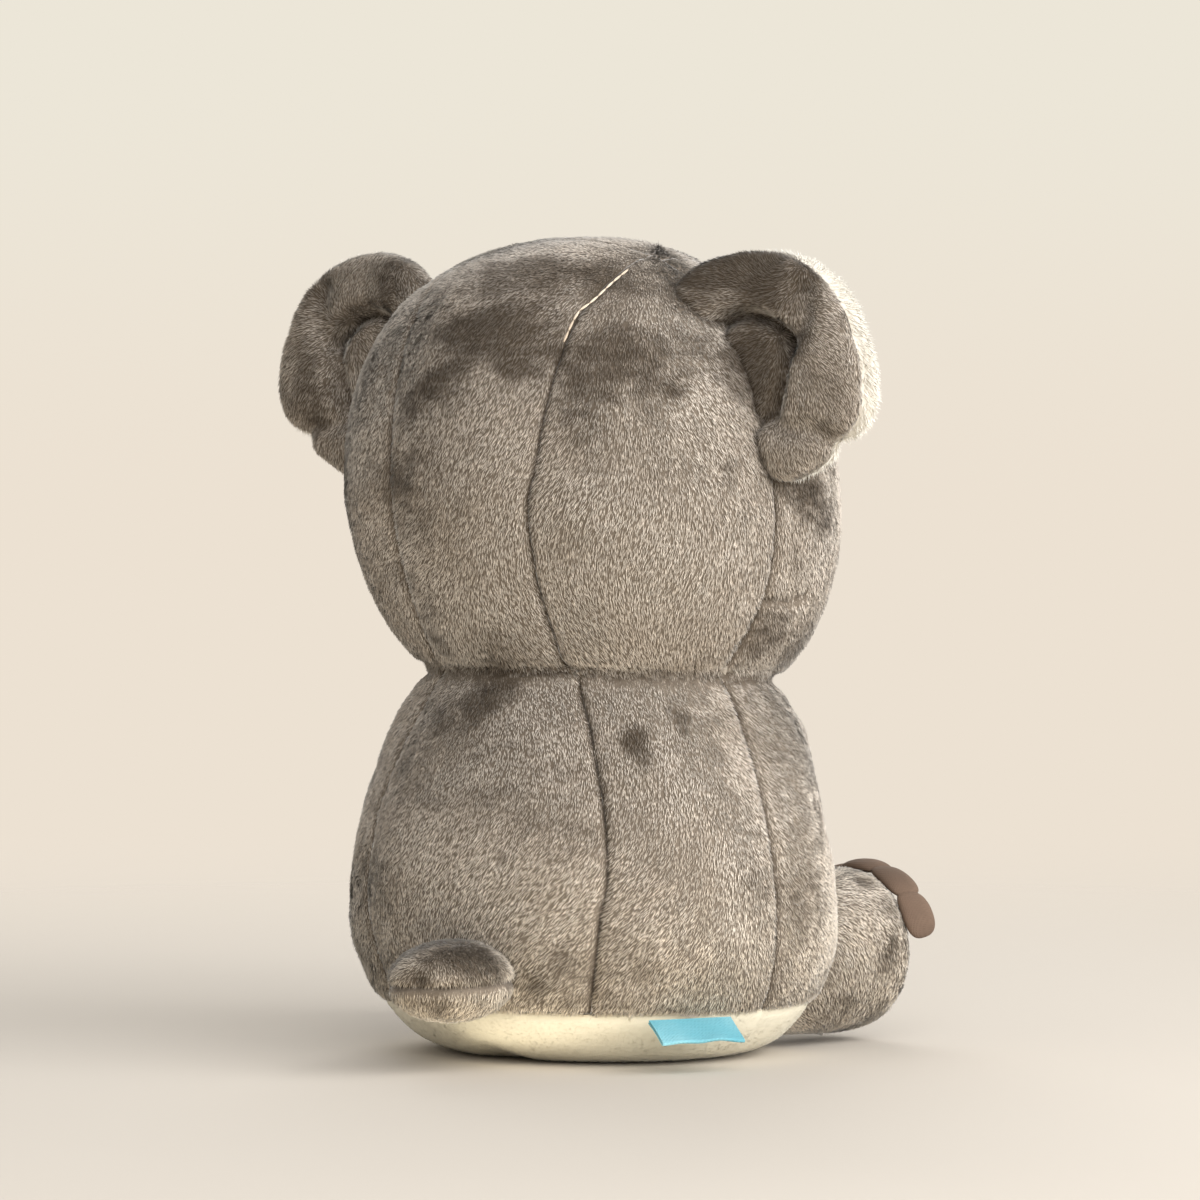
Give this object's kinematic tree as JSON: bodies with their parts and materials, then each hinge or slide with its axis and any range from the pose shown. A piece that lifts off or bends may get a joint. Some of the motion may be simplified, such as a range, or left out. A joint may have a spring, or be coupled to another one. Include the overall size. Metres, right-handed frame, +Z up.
{
  "type": "plush koala",
  "caption": "Seated stuffed koala with a round head, fluffy-lined ears, pear body, stub limbs with felt claws, a nub tail and a flat weighted seat",
  "frame": {"origin": "centre of the flat that the koala sits on", "axes": "+Z up, -Y the way the face looks, -X the koala's right side"},
  "size_m": [0.2492, 0.2335, 0.299],
  "materials": {
    "grey_plush": "short warm grey plush pile, napped, with darker brushed patches",
    "cream_plush": "smooth cream velour",
    "white_fur": "longer white fur",
    "brown_suede": "brown suede-like felt",
    "nose_cloth": "black short velour",
    "eye_gloss": "polished black",
    "stuffing": "white polyester fibre",
    "pouch_cloth": "plain woven cotton",
    "washer_plastic": "white plastic",
    "ribbon": "bare teal satin ribbon",
    "thread": "dark brown embroidery thread"
  },
  "bodies": {
    "torso": {"head_back_gusset": "grey_plush", "head_back_right": "grey_plush", "head_back_left": "grey_plush", "face_centre": "grey_plush", "cheek_right": "grey_plush", "cheek_left": "grey_plush", "head_stuffing": "stuffing", "eye_right": "eye_gloss", "eye_left": "eye_gloss", "eye_washer_right": "washer_plastic", "eye_washer_left": "washer_plastic", "nose": "nose_cloth", "mouth_stitch": "thread", "base_panel": "cream_plush", "body_back_panel": "grey_plush", "body_side_right": "grey_plush", "body_side_left": "grey_plush", "body_front_right": "grey_plush", "body_front_left": "grey_plush", "belly_panel": "cream_plush", "body_stuffing": "stuffing", "pellet_pouch": "pouch_cloth"},
    "ear_right": {"ear_back_right": "grey_plush", "ear_lining_right": "white_fur"},
    "ear_left": {"ear_back_left": "grey_plush", "ear_lining_left": "white_fur"},
    "arm_right": {"arm_right": "grey_plush", "hand_claws_right": "brown_suede"},
    "arm_left": {"arm_left": "grey_plush", "hand_claws_left": "brown_suede"},
    "leg_right": {"leg_right": "grey_plush", "foot_sole_right": "grey_plush", "foot_claws_right": "brown_suede"},
    "leg_left": {"leg_left": "grey_plush", "foot_sole_left": "grey_plush", "foot_claws_left": "brown_suede"},
    "tail": {"tail": "grey_plush"},
    "label": {"label": "ribbon"}
  },
  "joints": [
    {"name": "ear_right_seam", "type": "hinge", "parent": "torso", "child": "ear_right", "pos_m": [-0.05504, 0.02402, 0.27596], "axis": [-0.4231, -0.0846, -0.9021], "range_deg": [-12, 16], "stiffness_Nm_per_rad": 0.1},
    {"name": "ear_left_seam", "type": "hinge", "parent": "torso", "child": "ear_left", "pos_m": [0.05504, 0.02402, 0.27596], "axis": [-0.4231, 0.0846, 0.9021], "range_deg": [-12, 16], "stiffness_Nm_per_rad": 0.1},
    {"name": "shoulder_right", "type": "hinge", "parent": "torso", "child": "arm_right", "pos_m": [-0.04968, -0.04428, 0.11234], "axis": [1, 0, 0], "range_deg": [-20, 10], "stiffness_Nm_per_rad": 0.1},
    {"name": "shoulder_left", "type": "hinge", "parent": "torso", "child": "arm_left", "pos_m": [0.04968, -0.04428, 0.11234], "axis": [1, 0, 0], "range_deg": [-20, 10], "stiffness_Nm_per_rad": 0.1},
    {"name": "hip_right", "type": "hinge", "parent": "torso", "child": "leg_right", "pos_m": [-0.04324, -0.03772, 0.0335], "axis": [1, 0, 0], "range_deg": [-12, 0], "stiffness_Nm_per_rad": 0.5},
    {"name": "hip_left", "type": "hinge", "parent": "torso", "child": "leg_left", "pos_m": [0.04324, -0.03772, 0.0335], "axis": [1, 0, 0], "range_deg": [-12, 0], "stiffness_Nm_per_rad": 0.5},
    {"name": "tail_seam", "type": "hinge", "parent": "torso", "child": "tail", "pos_m": [0, 0.08, 0.033], "axis": [1, 0, 0], "range_deg": [-10, 10], "stiffness_Nm_per_rad": 0.2},
    {"name": "label_fold", "type": "hinge", "parent": "torso", "child": "label", "pos_m": [-0.06877, 0.04389, 0.0185], "axis": [0.5592, 0.829, 0], "range_deg": [-30, 32], "stiffness_Nm_per_rad": 0.002}
  ]
}
